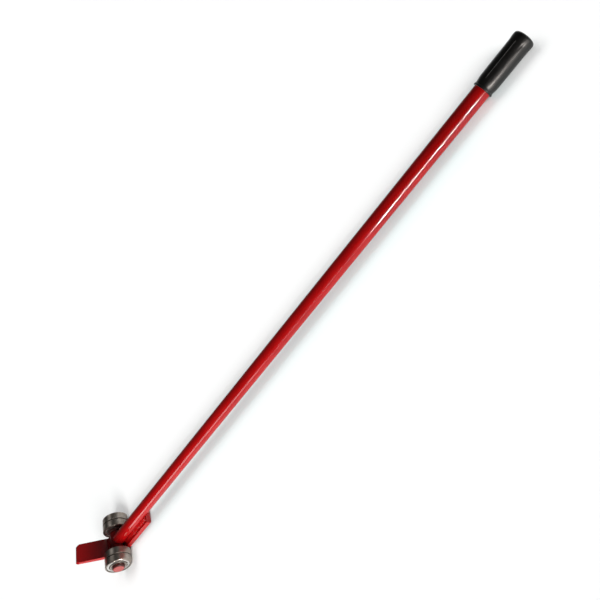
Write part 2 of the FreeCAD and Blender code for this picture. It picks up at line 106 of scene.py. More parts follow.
def maths(tree, operation, first, second=0.0, clamp=False):
    """One step of arithmetic. Each value is a number or a socket."""
    node = tree.nodes.new("ShaderNodeMath")
    node.operation = operation
    node.use_clamp = clamp
    for socket, value in zip(node.inputs, (first, second)):
        if isinstance(value, (int, float)):
            socket.default_value = value
        else:
            tree.links.new(value, socket)
    return node.outputs[0]


def grain(tree, place, size_mm, detail=2.0, roughness=0.5, distortion=0.0):
    """Noise from 0 to 1 whose lumps are about size_mm across."""
    node = tree.nodes.new("ShaderNodeTexNoise")
    node.inputs["Scale"].default_value = 1 / (size_mm * MM)
    node.inputs["Detail"].default_value = detail
    node.inputs["Roughness"].default_value = roughness
    node.inputs["Distortion"].default_value = distortion
    tree.links.new(place, node.inputs["Vector"])
    return node.outputs["Fac"]


def spread(tree, value, low, high, to_low, to_high):
    """Maps value from low..high to to_low..to_high, clamped."""
    node = tree.nodes.new("ShaderNodeMapRange")
    tree.links.new(value, node.inputs["Value"])
    node.inputs["From Min"].default_value = low
    node.inputs["From Max"].default_value = high
    node.inputs["To Min"].default_value = to_low
    node.inputs["To Max"].default_value = to_high
    return node.outputs["Result"]


def fade(tree, value, between_mm, before, after, zero=0.0):
    """before up to the first place of between_mm, after past the second, both counted from zero."""
    low, high = (zero + place_mm * MM for place_mm in between_mm)
    return spread(tree, value, low, high, before, after)


def patches(tree, place, size_mm, between, amount=1.0, **texture):
    """Noise patches about size_mm across: 0 where the noise is below between, amount above it."""
    return spread(tree, grain(tree, place, size_mm, **texture), *between, 0.0, amount)


def blend_colours(tree, amount, first, second):
    """first where amount is 0, second where it is 1. Each is a colour or a socket."""
    node = tree.nodes.new("ShaderNodeMix")
    node.data_type = "RGBA"
    tree.links.new(amount, node.inputs[0])
    for socket, value in ((node.inputs[6], first), (node.inputs[7], second)):
        if isinstance(value, tuple):
            socket.default_value = (*value, 1.0)
        else:
            tree.links.new(value, socket)
    return node.outputs[2]


def relief(tree, height, depth_mm, below=None):
    """Bump of that depth, laid over another bump."""
    node = tree.nodes.new("ShaderNodeBump")
    node.inputs["Distance"].default_value = depth_mm * MM
    tree.links.new(height, node.inputs["Height"])
    if below is not None:
        tree.links.new(below, node.inputs["Normal"])
    return node.outputs["Normal"]


def bumps(tree, place, size_mm, depth_mm, below=None, **texture):
    """Bump from noise lumps about size_mm across."""
    return relief(tree, grain(tree, place, size_mm, **texture), depth_mm, below)


def drawn_out(tree, place, share):
    """The place, shrunk along X: noise over it makes streaks along the tool."""
    node = tree.nodes.new("ShaderNodeMapping")
    node.inputs["Scale"].default_value = (share, 1.0, 1.0)
    tree.links.new(place, node.inputs["Vector"])
    return node.outputs["Vector"]


def turned_place(tree, place):
    """Coordinates round the axle: distance from its line, place along it, and a slow turn round it.
    Noise over them runs round the part, as marks left by grinding and turning do."""
    x, y, z = axes_of(tree, place)
    across = maths(tree, "SUBTRACT", x, AXLE.x)
    up = maths(tree, "SUBTRACT", z, AXLE.z)
    squares = [maths(tree, "POWER", side, 2.0) for side in (across, up)]
    radius = maths(tree, "SQRT", maths(tree, "ADD", *squares))
    slow_turn = maths(tree, "MULTIPLY", maths(tree, "ADD", across, up), TURN_MARK_SHARE)
    joined = tree.nodes.new("ShaderNodeCombineXYZ")
    for socket, value in zip(joined.inputs, (radius, y, slow_turn)):
        tree.links.new(value, socket)
    return joined.outputs[0]


def axle_distances(tree, turned):
    """Distances, from a turned place: from the axle's line, and along it from its middle."""
    radius, along, _ = axes_of(tree, turned)
    return {"RADIUS": radius, "ALONG": maths(tree, "ABSOLUTE", along)}


# ---- painted shade in gaps and grooves ----

# Dark colour painted where shade falls in gaps and grooves.
PAINTED_GAP_SHADE = (0.020, 0.016, 0.013)
PAINTED_GAP_SHADE_SHARE = 0.9


def gap_shade_band(tree, value, middle_mm, half_width_mm):
    """1 in the middle of a band, falling to 0 at its sides."""
    apart = maths(tree, "ABSOLUTE", maths(tree, "SUBTRACT", value, middle_mm * MM))
    return fade(tree, apart, (half_width_mm / 2, half_width_mm), 1.0, 0.0)


# ---- red paint ----

RED = (0.57, 0.0055, 0.0065)
RED_DEEP = (0.49, 0.0040, 0.0050)
# Darker red for painted shade on the toe and the axle.
RED_PAINTED_SHADE = (0.14, 0.003, 0.005)
# Paler, pinker red for a painted sheen on the axle's end faces.
RED_PAINTED_SHEEN = (0.36, 0.080, 0.070)
DUST = (0.62, 0.40, 0.36)

# Where painted shade and a painted sheen change the paint. Each pair is where a change starts and
# where it is complete.
ROUND_SIDE_MM = (10.2, 11.2)
ROLLER_FACE_MM = (52.0, 53.0)
SPACER_EDGE_MM = (16.1, 16.5)
SPACER_MIDDLE_MM = 22.0
SPACER_HALF_MM = 4.2
BESIDE_AXLE_MM = (13.6, 16.0)
BETWEEN_ROLLERS_MM = (25.0, 26.0)
AXLE_SHADE = 0.85
AXLE_FACE_MM = (59.2, 59.45)
FACE_SHEEN_SHARE = 0.75
TOE_START_MM = (-14, -9)
TOE_RISE_MM = (20, 60)
TOE_SHADES = (0.92, 0.30)
PLATE_SIDE_MM = (19.2, 19.8)

# Noise over the paint.
TONE = {"size_mm": 38, "between": (0.35, 0.65), "detail": 3}
DUST_SPECKS = {"size_mm": 0.9, "between": (0.68, 0.74), "amount": 0.35, "detail": 4, "roughness": 0.7}
DUST_PATCHES = {"size_mm": 16, "between": (0.45, 0.7)}
SMEARS = {"size_mm": 7, "detail": 4, "roughness": 0.6}
SMEAR_DRAW = 0.25
SMEAR_BETWEEN = (0.3, 0.7)
PAINT_WAVES = {"size_mm": 9, "depth_mm": 0.035, "detail": 1}
PAINT_PEEL = {"size_mm": 1.6, "depth_mm": 0.010}

PAINT_ROUGHNESS = (0.05, 0.09)
DUST_ROUGHNESS = 0.8
SHADED_GAP_ROUGHNESS = 0.35
SHADE_ROUGHNESS = 0.25
PAINT_IOR = 1.42


def axle_and_spacer_shade(tree, place):
    """Painted shade on the axle's round side outside the rollers, and on the spacer rings."""
    apart = axle_distances(tree, turned_place(tree, place))
    round_side = fade(tree, apart["RADIUS"], ROUND_SIDE_MM, 0.0, PAINTED_GAP_SHADE_SHARE)
    outside = fade(tree, apart["ALONG"], ROLLER_FACE_MM, 0.0, 1.0)
    within = fade(tree, apart["RADIUS"], SPACER_EDGE_MM, 1.0, 0.0)
    spacer = gap_shade_band(tree, apart["ALONG"], SPACER_MIDDLE_MM, SPACER_HALF_MM)
    beside = maths(tree, "MULTIPLY", within, spacer)
    reach = maths(tree, "ADD", outside, beside, clamp=True)
    return maths(tree, "MULTIPLY", round_side, reach)


def axle_shade(tree, place):
    """Painted shade where the axle crosses the plate, between the rollers."""
    apart = axle_distances(tree, turned_place(tree, place))
    near_axle = fade(tree, apart["RADIUS"], BESIDE_AXLE_MM, AXLE_SHADE, 0.0)
    inside = fade(tree, apart["ALONG"], BETWEEN_ROLLERS_MM, 1.0, 0.0)
    return maths(tree, "MULTIPLY", near_axle, inside)


def axle_end_sheen(tree, place):
    """Paler, pinker paint on the axle's end faces: a painted sheen for the light they catch."""
    along = maths(tree, "ABSOLUTE", axes_of(tree, place)[1])
    return fade(tree, along, AXLE_FACE_MM, 0.0, FACE_SHEEN_SHARE)


def toe_shade(tree, place):
    """Painted shade on the broad faces of the toe, darkest near the bend."""
    x, y, z = axes_of(tree, place)
    toe = fade(tree, x, TOE_START_MM, 1.0, 0.0, AXLE.x)
    rise = fade(tree, z, TOE_RISE_MM, *TOE_SHADES, AXLE.z)
    broad = fade(tree, maths(tree, "ABSOLUTE", y), PLATE_SIDE_MM, 1.0, 0.0)
    return maths(tree, "MULTIPLY", maths(tree, "MULTIPLY", toe, rise), broad)


def make_red_paint():
    """Glossy red enamel: orange peel, slow tone changes, fine dust, and painted shade and a painted
    sheen in its colour.
    """
    material, tree, shader = new_material("red_paint")
    place = frame_place(tree)
    specks = patches(tree, place, **DUST_SPECKS)
    dust = maths(tree, "MULTIPLY", specks, patches(tree, place, **DUST_PATCHES))
    # Masks of painted shade: the axle where it crosses the plate, its stubs outside the rollers, and
    # the spacer rings.
    shaded_axle = axle_shade(tree, place)
    spacer_and_stub_shade = axle_and_spacer_shade(tree, place)
    # Painted shade on the toe, the axle and its gaps, and a painted sheen on the axle's end faces.
    layers = (
        (patches(tree, place, **TONE), RED_DEEP),
        (dust, DUST),
        (toe_shade(tree, place), RED_PAINTED_SHADE),
        (shaded_axle, RED_PAINTED_SHADE),
        (axle_end_sheen(tree, place), RED_PAINTED_SHEEN),
        (spacer_and_stub_shade, PAINTED_GAP_SHADE),
    )
    colour = RED
    for amount, shade in layers:
        colour = blend_colours(tree, amount, colour, shade)
    tree.links.new(colour, shader.inputs["Base Color"])
    smears = grain(tree, drawn_out(tree, place, SMEAR_DRAW), **SMEARS)
    rough = spread(tree, smears, *SMEAR_BETWEEN, *PAINT_ROUGHNESS)
    for amount, share in ((dust, DUST_ROUGHNESS), (spacer_and_stub_shade, SHADED_GAP_ROUGHNESS), (shaded_axle, SHADE_ROUGHNESS)):
        rough = maths(tree, "ADD", rough, maths(tree, "MULTIPLY", amount, share))
    tree.links.new(rough, shader.inputs["Roughness"])
    waves = bumps(tree, place, **PAINT_WAVES)
    tree.links.new(bumps(tree, place, below=waves, **PAINT_PEEL), shader.inputs["Normal"])
    shader.inputs["IOR"].default_value = PAINT_IOR
    return material


# ---- steel ----

STEEL_FILM = {
    "size_mm": 11,
    "between": (0.40, 0.70),
    "amount": 0.75,
    "detail": 4,
    "roughness": 0.6,
    "distortion": 0.4,
}
FINE_MARKS = {"detail": 3, "roughness": 0.65}
COARSE_TO_FINE = 6
STREAK_BETWEEN = (0.3, 0.7)
STREAK_SHARE = 0.25
SHEEN_BETWEEN = (0.4, 1.2)
GAP_SHADE_ROUGHNESS = 0.3

# Grooves and gaps darkened with painted shade.
BETWEEN_BEARINGS_MM = 38.5
SHIELD_EDGE_MM = 17.7
SHIELD_SEAT_MM = 22.7

STEELS = {
    "bearing_steel": {
        "bright": (0.40, 0.36, 0.32),
        "stain": (0.24, 0.20, 0.165),
        "roughness": (0.29, 0.42),
        "mark_mm": 0.12,
        "mark_depth_mm": 0.006,
        "grooves": (("ALONG", BETWEEN_BEARINGS_MM, 1.3),),
    },
    "shield_steel": {
        "bright": (0.74, 0.73, 0.71),
        "stain": (0.55, 0.52, 0.48),
        "roughness": (0.22, 0.34),
        "mark_mm": 0.25,
        "mark_depth_mm": 0.004,
        "grooves": (("RADIUS", SHIELD_EDGE_MM, 1.2), ("RADIUS", SHIELD_SEAT_MM, 0.8)),
    },
    "cage_steel": {
        "bright": (0.50, 0.48, 0.45),
        "stain": (0.34, 0.30, 0.25),
        "roughness": (0.32, 0.46),
        "mark_mm": 0.3,
        "mark_depth_mm": 0.004,
    },
}

BALL = (0.72, 0.72, 0.72)
BALL_GREASED = (0.55, 0.50, 0.42)
GREASE = {"size_mm": 2.5, "between": (0.4, 0.65), "detail": 3}
BALL_ROUGHNESS = (0.06, 0.22)
BALL_BUMPS = {"size_mm": 0.6, "depth_mm": 0.003}


def make_steel(name, bright, stain, roughness, mark_mm, mark_depth_mm, grooves=()):
    """Machined steel with marks round its axis, faint stains and an uneven sheen.
    grooves says where painted shade darkens a groove or gap: each is "RADIUS" or "ALONG", its middle
    and half width."""
    material, tree, shader = new_material(name)
    place = frame_place(tree)
    turned = turned_place(tree, place)
    fine = grain(tree, turned, mark_mm, **FINE_MARKS)
    coarse = grain(tree, turned, mark_mm * COARSE_TO_FINE)
    film = patches(tree, place, **STEEL_FILM)
    streaks = spread(tree, fine, *STREAK_BETWEEN, 0.0, STREAK_SHARE)
    colour = blend_colours(tree, maths(tree, "ADD", film, streaks, clamp=True), bright, stain)
    sheen = spread(tree, maths(tree, "ADD", coarse, film), *SHEEN_BETWEEN, *roughness)
    for way, middle_mm, half_width_mm in grooves:
        # Painted shade in the groove or gap, a little rougher too.
        band = gap_shade_band(tree, axle_distances(tree, turned)[way], middle_mm, half_width_mm)
        groove_shade = maths(tree, "MULTIPLY", band, PAINTED_GAP_SHADE_SHARE)
        colour = blend_colours(tree, groove_shade, colour, PAINTED_GAP_SHADE)
        sheen = maths(tree, "ADD", sheen, maths(tree, "MULTIPLY", groove_shade, GAP_SHADE_ROUGHNESS))
    tree.links.new(colour, shader.inputs["Base Color"])
    tree.links.new(sheen, shader.inputs["Roughness"])
    tree.links.new(relief(tree, fine, mark_depth_mm), shader.inputs["Normal"])
    shader.inputs["Metallic"].default_value = 1.0
    return material


def make_ball_steel():
    """Polished balls under a thin, uneven film of grease."""
    material, tree, shader = new_material("ball_steel")
    place = frame_place(tree)
    film = patches(tree, place, **GREASE)
    tree.links.new(blend_colours(tree, film, BALL, BALL_GREASED), shader.inputs["Base Color"])
    tree.links.new(spread(tree, film, 0.0, 1.0, *BALL_ROUGHNESS), shader.inputs["Roughness"])
    tree.links.new(bumps(tree, place, **BALL_BUMPS), shader.inputs["Normal"])
    shader.inputs["Metallic"].default_value = 1.0
    return material


# ---- rubber ----

RUBBER = (0.0035, 0.0034, 0.0033)
RUBBER_BLOOM = (0.011, 0.0105, 0.0095)
LINT = (0.12, 0.115, 0.11)
RUBS = {"size_mm": 1.8, "detail": 4, "roughness": 0.65}
RUB_DRAW = 0.12
RUB_BETWEEN = (0.3, 0.75)
BLOOM_BETWEEN = (0.42, 0.72)
LINT_SPECKS = {"size_mm": 0.5, "between": (0.70, 0.76), "amount": 0.5, "detail": 3, "roughness": 0.7}
SWELL_DRAW = 0.3
SWELLS = {"size_mm": 6, "depth_mm": 0.12}
PORES = {"size_mm": 0.35, "depth_mm": 0.012}
RUBBER_ROUGHNESS = (0.30, 0.46)
RUBBER_IOR = 1.46

# Grey of the flash: partly trimmed rubber, partly a painted highlight of the light on the seam.
FLASH_AND_HIGHLIGHT = (0.12, 0.118, 0.115)
FLASH_SCUFFED_AND_HIGHLIGHT = (0.30, 0.295, 0.29)
FLASH_DRAW = 0.3
FLASH_SCUFFS = {"size_mm": 1.2, "between": (0.35, 0.65), "detail": 3}
FLASH_BUMPS = {"size_mm": 0.3, "depth_mm": 0.02}
FLASH_ROUGHNESS = (0.5, 0.7)


def make_grip_rubber():
    """Satin black rubber: fine moulded grain, rubbed streaks along the grip, grey dust."""
    material, tree, shader = new_material("grip_rubber")
    place = frame_place(tree)
    rubs = grain(tree, drawn_out(tree, place, RUB_DRAW), **RUBS)
    bloom = spread(tree, rubs, *BLOOM_BETWEEN, 0.0, 1.0)
    colour = blend_colours(tree, bloom, RUBBER, RUBBER_BLOOM)
    colour = blend_colours(tree, patches(tree, place, **LINT_SPECKS), colour, LINT)
    tree.links.new(colour, shader.inputs["Base Color"])
    tree.links.new(spread(tree, rubs, *RUB_BETWEEN, *RUBBER_ROUGHNESS), shader.inputs["Roughness"])
    swells = bumps(tree, drawn_out(tree, place, SWELL_DRAW), **SWELLS)
    tree.links.new(bumps(tree, place, below=swells, **PORES), shader.inputs["Normal"])
    shader.inputs["IOR"].default_value = RUBBER_IOR
    return material


def make_seam_flash_and_highlight():
    """The trimmed flash along the grip's parting lines: drier than the rest, and greyer, partly as a
    painted highlight of the light the raised seam catches.
    """
    material, tree, shader = new_material("grip_flash")
    place = frame_place(tree)
    scuffs = patches(tree, drawn_out(tree, place, FLASH_DRAW), **FLASH_SCUFFS)
    tree.links.new(blend_colours(tree, scuffs, FLASH_AND_HIGHLIGHT, FLASH_SCUFFED_AND_HIGHLIGHT), shader.inputs["Base Color"])
    tree.links.new(spread(tree, scuffs, 0.0, 1.0, *FLASH_ROUGHNESS), shader.inputs["Roughness"])
    tree.links.new(bumps(tree, place, **FLASH_BUMPS), shader.inputs["Normal"])
    return material


# ---- floor paper ----

PAPER = (0.860, 0.868, 0.865)
PAPER_PALE = (0.880, 0.888, 0.885)
# Painted cool tint that cancels the tube's red bounce light on the paper.
PAPER_RED_BOUNCE_CANCEL = (0.70, 0.875, 0.870)
FIBRES = {"size_mm": 2.5, "detail": 3}
PAPER_ROUGHNESS = 0.95
TINT_NEAR_MM = (-60, -10)
TINT_PAST_MM = (0, 50)
TINT_AFTER_TOE_MM = (-580, -440)
TINT_BEFORE_GRIP_MM = (460, 580)


def beside_tube(tree, place):
    """1 on the paper just in front of the red tube, fading out round it: where the painted cool tint
    goes.
    """
    x, y, _ = axes_of(tree, place)
    near = fade(tree, y, TINT_NEAR_MM, 0.0, 1.0)
    past = fade(tree, y, TINT_PAST_MM, 1.0, 0.0)
    after_toe = fade(tree, x, TINT_AFTER_TOE_MM, 0.0, 1.0)
    before_grip = fade(tree, x, TINT_BEFORE_GRIP_MM, 1.0, 0.0)
    across = maths(tree, "MULTIPLY", near, past)
    along = maths(tree, "MULTIPLY", after_toe, before_grip)
    return maths(tree, "MULTIPLY", across, along)


def make_floor_paper():
    """Plain white studio paper, with a painted cool tint in front of the tube that cancels the red
    light the tube throws on it.
    """
    material, tree, shader = new_material("floor_paper")
    place = frame_place(tree)
    colour = blend_colours(tree, grain(tree, place, **FIBRES), PAPER, PAPER_PALE)
    colour = blend_colours(tree, beside_tube(tree, place), colour, PAPER_RED_BOUNCE_CANCEL)
    tree.links.new(colour, shader.inputs["Base Color"])
    shader.inputs["Roughness"].default_value = PAPER_ROUGHNESS
    shader.inputs["Specular IOR Level"].default_value = 0.0
    return material


# ---- finishes of the CAD nodes ----

SLOT_ENDINGS = (
    ("_ring", "bearing_steel"),
    ("_shield_in", "shield_steel"),
    ("_shield_out", "shield_steel"),
    ("_balls", "ball_steel"),
    ("_cage_half_in", "cage_steel"),
    ("_cage_half_out", "cage_steel"),
    ("_cage_rivets", "cage_steel"),
    ("grip", "grip_rubber"),
)


def slot_of(node):
    """The record's material slot of a CAD node, from its name."""
    for ending, slot in SLOT_ENDINGS:
        if node.endswith(ending):
            return slot
    return "red_paint"


def make_materials():
    """The new finishes, by the record's slot names, in place of the imported plain ones."""
    for plain in list(bpy.data.materials):
        bpy.data.materials.remove(plain)
    finishes = {"red_paint": make_red_paint()}
    for name, look in STEELS.items():
        finishes[name] = make_steel(name, **look)
    finishes["ball_steel"] = make_ball_steel()
    finishes["grip_rubber"] = make_grip_rubber()
    return finishes


def finish_nodes(materials):
    """Gives every CAD node its finish."""
    for name, node in frame["nodes"].items():
        node.data.materials.clear()
        node.data.materials.append(materials[slot_of(name)])


# ---- helpers for pieces ----

def add_piece(name, mesh, finishes, *stands_for):
    """A modelled piece on the frame body, smooth shaded, in place of CAD nodes.
    The first finish is named as the record's material slot."""
    piece = bpy.data.objects.new(name, mesh)
    bpy.context.scene.collection.objects.link(piece)
    for material in finishes:
        mesh.materials.append(material)
    mesh.shade_smooth()
    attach(piece, "frame")
    if stands_for:
        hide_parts(*stands_for)
    return piece


def noise_at(point, size_mm, seed):
    """Smooth noise from -1 to 1 over tool coordinates."""
    return noise.noise(point / size_mm + Vector((seed, 0.0, 0.0)))


# ---- weld beads ----

VOXEL_MM = 0.45
SOFTEN_STEPS = 2
TUBE_WELD_MIDDLE_MM = 12.5
SIDE_RIPPLE_MM = 2.6
SIDE_RIPPLE_BOW = 0.06
COLLAR_MIDDLE_MM = 10.0
RING_RIPPLES = 30
RING_RIPPLE_BOW_MM2 = 26.0
RIPPLE_HEIGHT_MM = 0.16
LUMP_SIZE_MM = 5.5
LUMP_HEIGHT_MM = 0.55
PIMPLE_SIZE_MM = 1.5
PIMPLE_HEIGHT_MM = 0.60
PIMPLE_FROM = 0.25
PIMPLE_SEED_STEP = 7


def remeshed(node_name):
    """A fine, even mesh of a CAD node, with its corners melted a little."""
    rough = bpy.data.objects.new("rough", frame["nodes"][node_name].data.copy())
    bpy.context.scene.collection.objects.link(rough)
    remesh = rough.modifiers.new("remesh", "REMESH")
    remesh.mode = "VOXEL"
    remesh.voxel_size = VOXEL_MM * MM
    soften = rough.modifiers.new("soften", "SMOOTH")
    soften.iterations = SOFTEN_STEPS
    ready = rough.evaluated_get(bpy.context.evaluated_depsgraph_get())
    mesh = bpy.data.meshes.new_from_object(ready)
    bpy.data.objects.remove(rough)
    mesh.materials.clear()
    return mesh


def side_ripple(point):
    """Ripples of a straight fillet run, bowed back at the bead's edges."""
    across = abs(point.y) - TUBE_WELD_MIDDLE_MM
    step = (point.x + SIDE_RIPPLE_BOW * across ** 2) / SIDE_RIPPLE_MM
    return math.cos(2 * math.pi * step)


def ring_ripple(point):
    """Ripples of a bead laid round the tube."""
    turn = math.atan2(point.z, point.y)
    along = point.x - COLLAR_MIDDLE_MM
    step = turn * RING_RIPPLES / (2 * math.pi) + along ** 2 / RING_RIPPLE_BOW_MM2
    return math.cos(2 * math.pi * step)


def cross_ripple(point):
    """Ripples of a bead laid along the axle."""
    return math.cos(2 * math.pi * point.y / SIDE_RIPPLE_MM)


WELDS = (
    # node, ripple, seed of its lumps
    ("tube_end_weld", ring_ripple, 1.0),
    ("toe_weld", cross_ripple, 2.0),
    ("left_tube_weld", side_ripple, 3.0),
    ("right_tube_weld", side_ripple, 4.0),
)


def make_bead(node_name, ripple, seed, material):
    """A weld bead with ripples, lumps and small pimples under the paint."""
    mesh = remeshed(node_name)
    moved = []
    for vertex in mesh.vertices:
        point = FROM_FRAME @ vertex.co
        lumps = noise_at(point, LUMP_SIZE_MM, seed) * LUMP_HEIGHT_MM
        pimples = max(0.0, noise_at(point, PIMPLE_SIZE_MM, seed + PIMPLE_SEED_STEP) - PIMPLE_FROM)
        height = ripple(point) * RIPPLE_HEIGHT_MM + lumps + pimples * PIMPLE_HEIGHT_MM
        moved.append(vertex.co + vertex.normal * height * MM)
    for vertex, place in zip(mesh.vertices, moved):
        vertex.co = place
    mesh.update()
    return add_piece(node_name + "_bead", mesh, [material], node_name)


# ---- weld spatter ----

SPATTER_SEED = 5
SPATTER_RADIUS_MM = (0.22, 0.55)
SPATTER_FLATTEN = 0.7
SPATTER_ON_TUBE = 46
TUBE_SPATTER_FROM_MM = 16.0
TUBE_SPATTER_REACH_MM = 34.0
TUBE_SPATTER_DEGREES = (-20, 200)
SPATTER_ON_PLATE = 34
PLATE_SPATTER_ALONG_MM = (14.0, 103.0)
PLATE_SPATTER_ACROSS_MM = (17.2, 18.8)


def add_droplet(droplets, point, normal, radius):
    """A small painted-over bump sunk a little into the surface."""
    up = Vector(normal).normalized()
    turn = up.to_track_quat("Z", "Y").to_matrix().to_4x4()
    squash = Matrix.Diagonal((radius, radius, radius * SPATTER_FLATTEN, 1.0))
    place = TOOL @ Matrix.Translation(Vector(point)) @ turn @ squash
    bmesh.ops.create_icosphere(droplets, subdivisions=2, radius=1.0, matrix=place)


def make_spatter(material):
    """Droplets of weld metal on the tube and on the shank beside the beads."""
    chance = random.Random(SPATTER_SEED)
    droplets = bmesh.new()
    for _ in range(SPATTER_ON_TUBE):
        x = TUBE_SPATTER_FROM_MM + TUBE_SPATTER_REACH_MM * chance.random() ** 2
        turn = math.radians(chance.uniform(*TUBE_SPATTER_DEGREES))
        normal = (0.0, math.cos(turn), math.sin(turn))
        point = (x, TUBE_RADIUS_MM * normal[1], TUBE_RISE_MM + TUBE_RADIUS_MM * normal[2])
        add_droplet(droplets, point, normal, chance.uniform(*SPATTER_RADIUS_MM))
    for _ in range(SPATTER_ON_PLATE):
        side = chance.choice((-1, 1))
        x = chance.uniform(*PLATE_SPATTER_ALONG_MM)
        point = (x, side * chance.uniform(*PLATE_SPATTER_ACROSS_MM), PLATE_TOP_MM)
        add_droplet(droplets, point, (0.0, 0.0, 1.0), chance.uniform(*SPATTER_RADIUS_MM))
    mesh = bpy.data.meshes.new("weld_spatter")
    droplets.to_mesh(mesh)
    droplets.free()
    return add_piece("weld_spatter", mesh, [material])


# ---- grip ----

GRIP_START_MM = 1097.0
GRIP_END_MM = 1177.5
GRIP_BORE_MM = 12.71
MOUTH_DEPTH_MM = 0.35
MOUTH_WIDENING_MM = 0.3
RIM_RADIUS_MM = 15.6
END_ROUND_MM = 4.0
END_ROUND_STEPS = 8
DOME_MM = 0.5
DOME_SHARES = (0.8, 0.6, 0.4, 0.2)
COLUMNS = 192
RING_STEP_MM = 0.8
PLAIN_RINGS = 5
TURN_DIGITS = 6
PARTING_LINE_TURN = math.radians(112)
PARTING_LINES = (PARTING_LINE_TURN, PARTING_LINE_TURN + math.pi)
PARTING_HALF_WIDTH = math.radians(1.5)
PARTING_COLUMNS = (-1.0, -0.5, 0.0, 0.5, 1.0)
PARTING_HEIGHT_MM = 0.35
PARTING_FROM_MM = 12.0
PARTING_TO_MM = 68.0
PARTING_FADE_MM = 1.5
FLASH_FROM = 0.6
CREASE_TURN = math.radians(152)
CREASE_AT_MM = 66.0
CREASE_DEPTH_MM = 0.30
CREASE_WIDTH_MM = 1.3
CREASE_LENGTH_MM = 4.5
CREASE_SLANT = 0.9
UNEVEN_MM = 0.10
UNEVEN_SIZE_MM = 14.0
UNEVEN_SEED = 9.0

LIP_NECK_AND_SWELL_MM = (
    # place past the open end, radius
    (0.0, 13.5),
    (0.25, 14.5),
    (0.8, 14.95),
    (1.4, 15.1),
    (2.0, 15.0),
    (2.5, 14.6),
    (3.1, 14.15),
    (4.2, 14.02),
    (5.6, 14.07),
    (8.0, 14.45),
    (10.5, 14.85),
    (13.5, 15.05),
    (18.0, 15.12),
    (40.0, 15.15),
)
RIM_MM = (
    # place before the closed end, radius
    (17.0, 15.08),
    (13.0, 15.12),
    (10.0, 15.4),
    (8.0, 15.57),
    (6.0, RIM_RADIUS_MM),
    (END_ROUND_MM, RIM_RADIUS_MM),
)


def grip_outline():
    """Corners of the grip's outside: place along the tool, radius."""
    corners = [(GRIP_START_MM + past, radius) for past, radius in LIP_NECK_AND_SWELL_MM]
    corners += [(GRIP_END_MM - before, radius) for before, radius in RIM_MM]
    return corners


def eased(points, step):
    """Points along a smooth curve through the corners, at most step apart along the tool.
    Each stretch is a cubic, whose slope at a corner comes from the corners beside it."""
    filled = []
    for index in range(len(points) - 1):
        before = points[max(index - 1, 0)]
        near, far = points[index], points[index + 1]
        after = points[min(index + 2, len(points) - 1)]
        width = far[0] - near[0]
        near_slope = (far[1] - before[1]) / (far[0] - before[0])
        far_slope = (after[1] - near[1]) / (after[0] - near[0])
        count = max(1, math.ceil(width / step))
        for part in range(count):
            share = part / count
            radius = (
                (2 * share ** 3 - 3 * share ** 2 + 1) * near[1]
                + (share ** 3 - 2 * share ** 2 + share) * width * near_slope
                + (3 * share ** 2 - 2 * share ** 3) * far[1]
                + (share ** 3 - share ** 2) * width * far_slope
            )
            filled.append((near[0] + width * share, radius))
    filled.append(points[-1])
    return filled


def grip_rings():
    """Every ring of the grip, from the bottom of its bore out to its closed end."""
    rings = [
        (TUBE_END_MM, GRIP_BORE_MM),
        (GRIP_START_MM + MOUTH_DEPTH_MM, GRIP_BORE_MM),
        (GRIP_START_MM, GRIP_BORE_MM + MOUTH_WIDENING_MM),
    ]
    rings += eased(grip_outline(), RING_STEP_MM)
    for part in range(1, END_ROUND_STEPS + 1):
        turn = math.radians(90 * part / END_ROUND_STEPS)
        out = RIM_RADIUS_MM - END_ROUND_MM + END_ROUND_MM * math.cos(turn)
        rings.append((GRIP_END_MM - END_ROUND_MM + END_ROUND_MM * math.sin(turn), out))
    for share in DOME_SHARES:
        inner = (RIM_RADIUS_MM - END_ROUND_MM) * share
        rings.append((GRIP_END_MM + DOME_MM * (1 - share ** 2), inner))
    return rings


def grip_turns():
    """Turns of the grip's columns: even, with more of them at the two parting lines."""
    turns = {round(2 * math.pi * index / COLUMNS, TURN_DIGITS) for index in range(COLUMNS)}
    for line in PARTING_LINES:
        for share in PARTING_COLUMNS:
            turns.add(round((line + share * PARTING_HALF_WIDTH) % (2 * math.pi), TURN_DIGITS))
    return sorted(turns)


def window(value, low, high, fade_width):
    """1 between low and high, fading to 0 outside them."""
    rise = min(1.0, max(0.0, (value - low) / fade_width + 0.5))
    fall = min(1.0, max(0.0, (high - value) / fade_width + 0.5))
    return rise * fall


def parting_ridge(x, turn):
    """1 on top of a parting line, 0 beside it and past its ends."""
    along = x - GRIP_START_MM
    ridge = 0.0
    for line in PARTING_LINES:
        apart = abs((turn - line + math.pi) % (2 * math.pi) - math.pi)
        ridge = max(ridge, 1 - apart / PARTING_HALF_WIDTH)
    return ridge * window(along, PARTING_FROM_MM, PARTING_TO_MM, PARTING_FADE_MM)


def grip_relief(x, turn):
    """Height over the turned shape: parting lines, a shallow crease and slight unevenness."""
    along = x - GRIP_START_MM
    height = PARTING_HEIGHT_MM * parting_ridge(x, turn)
    across = (turn - CREASE_TURN) * RIM_RADIUS_MM
    beside = (along - CREASE_AT_MM - across * CREASE_SLANT) / CREASE_LENGTH_MM
    height -= CREASE_DEPTH_MM * math.exp(-(across / CREASE_WIDTH_MM) ** 2 - beside ** 2)
    point = Vector((x, RIM_RADIUS_MM * math.cos(turn), RIM_RADIUS_MM * math.sin(turn)))
    return height + UNEVEN_MM * noise_at(point, UNEVEN_SIZE_MM, UNEVEN_SEED)


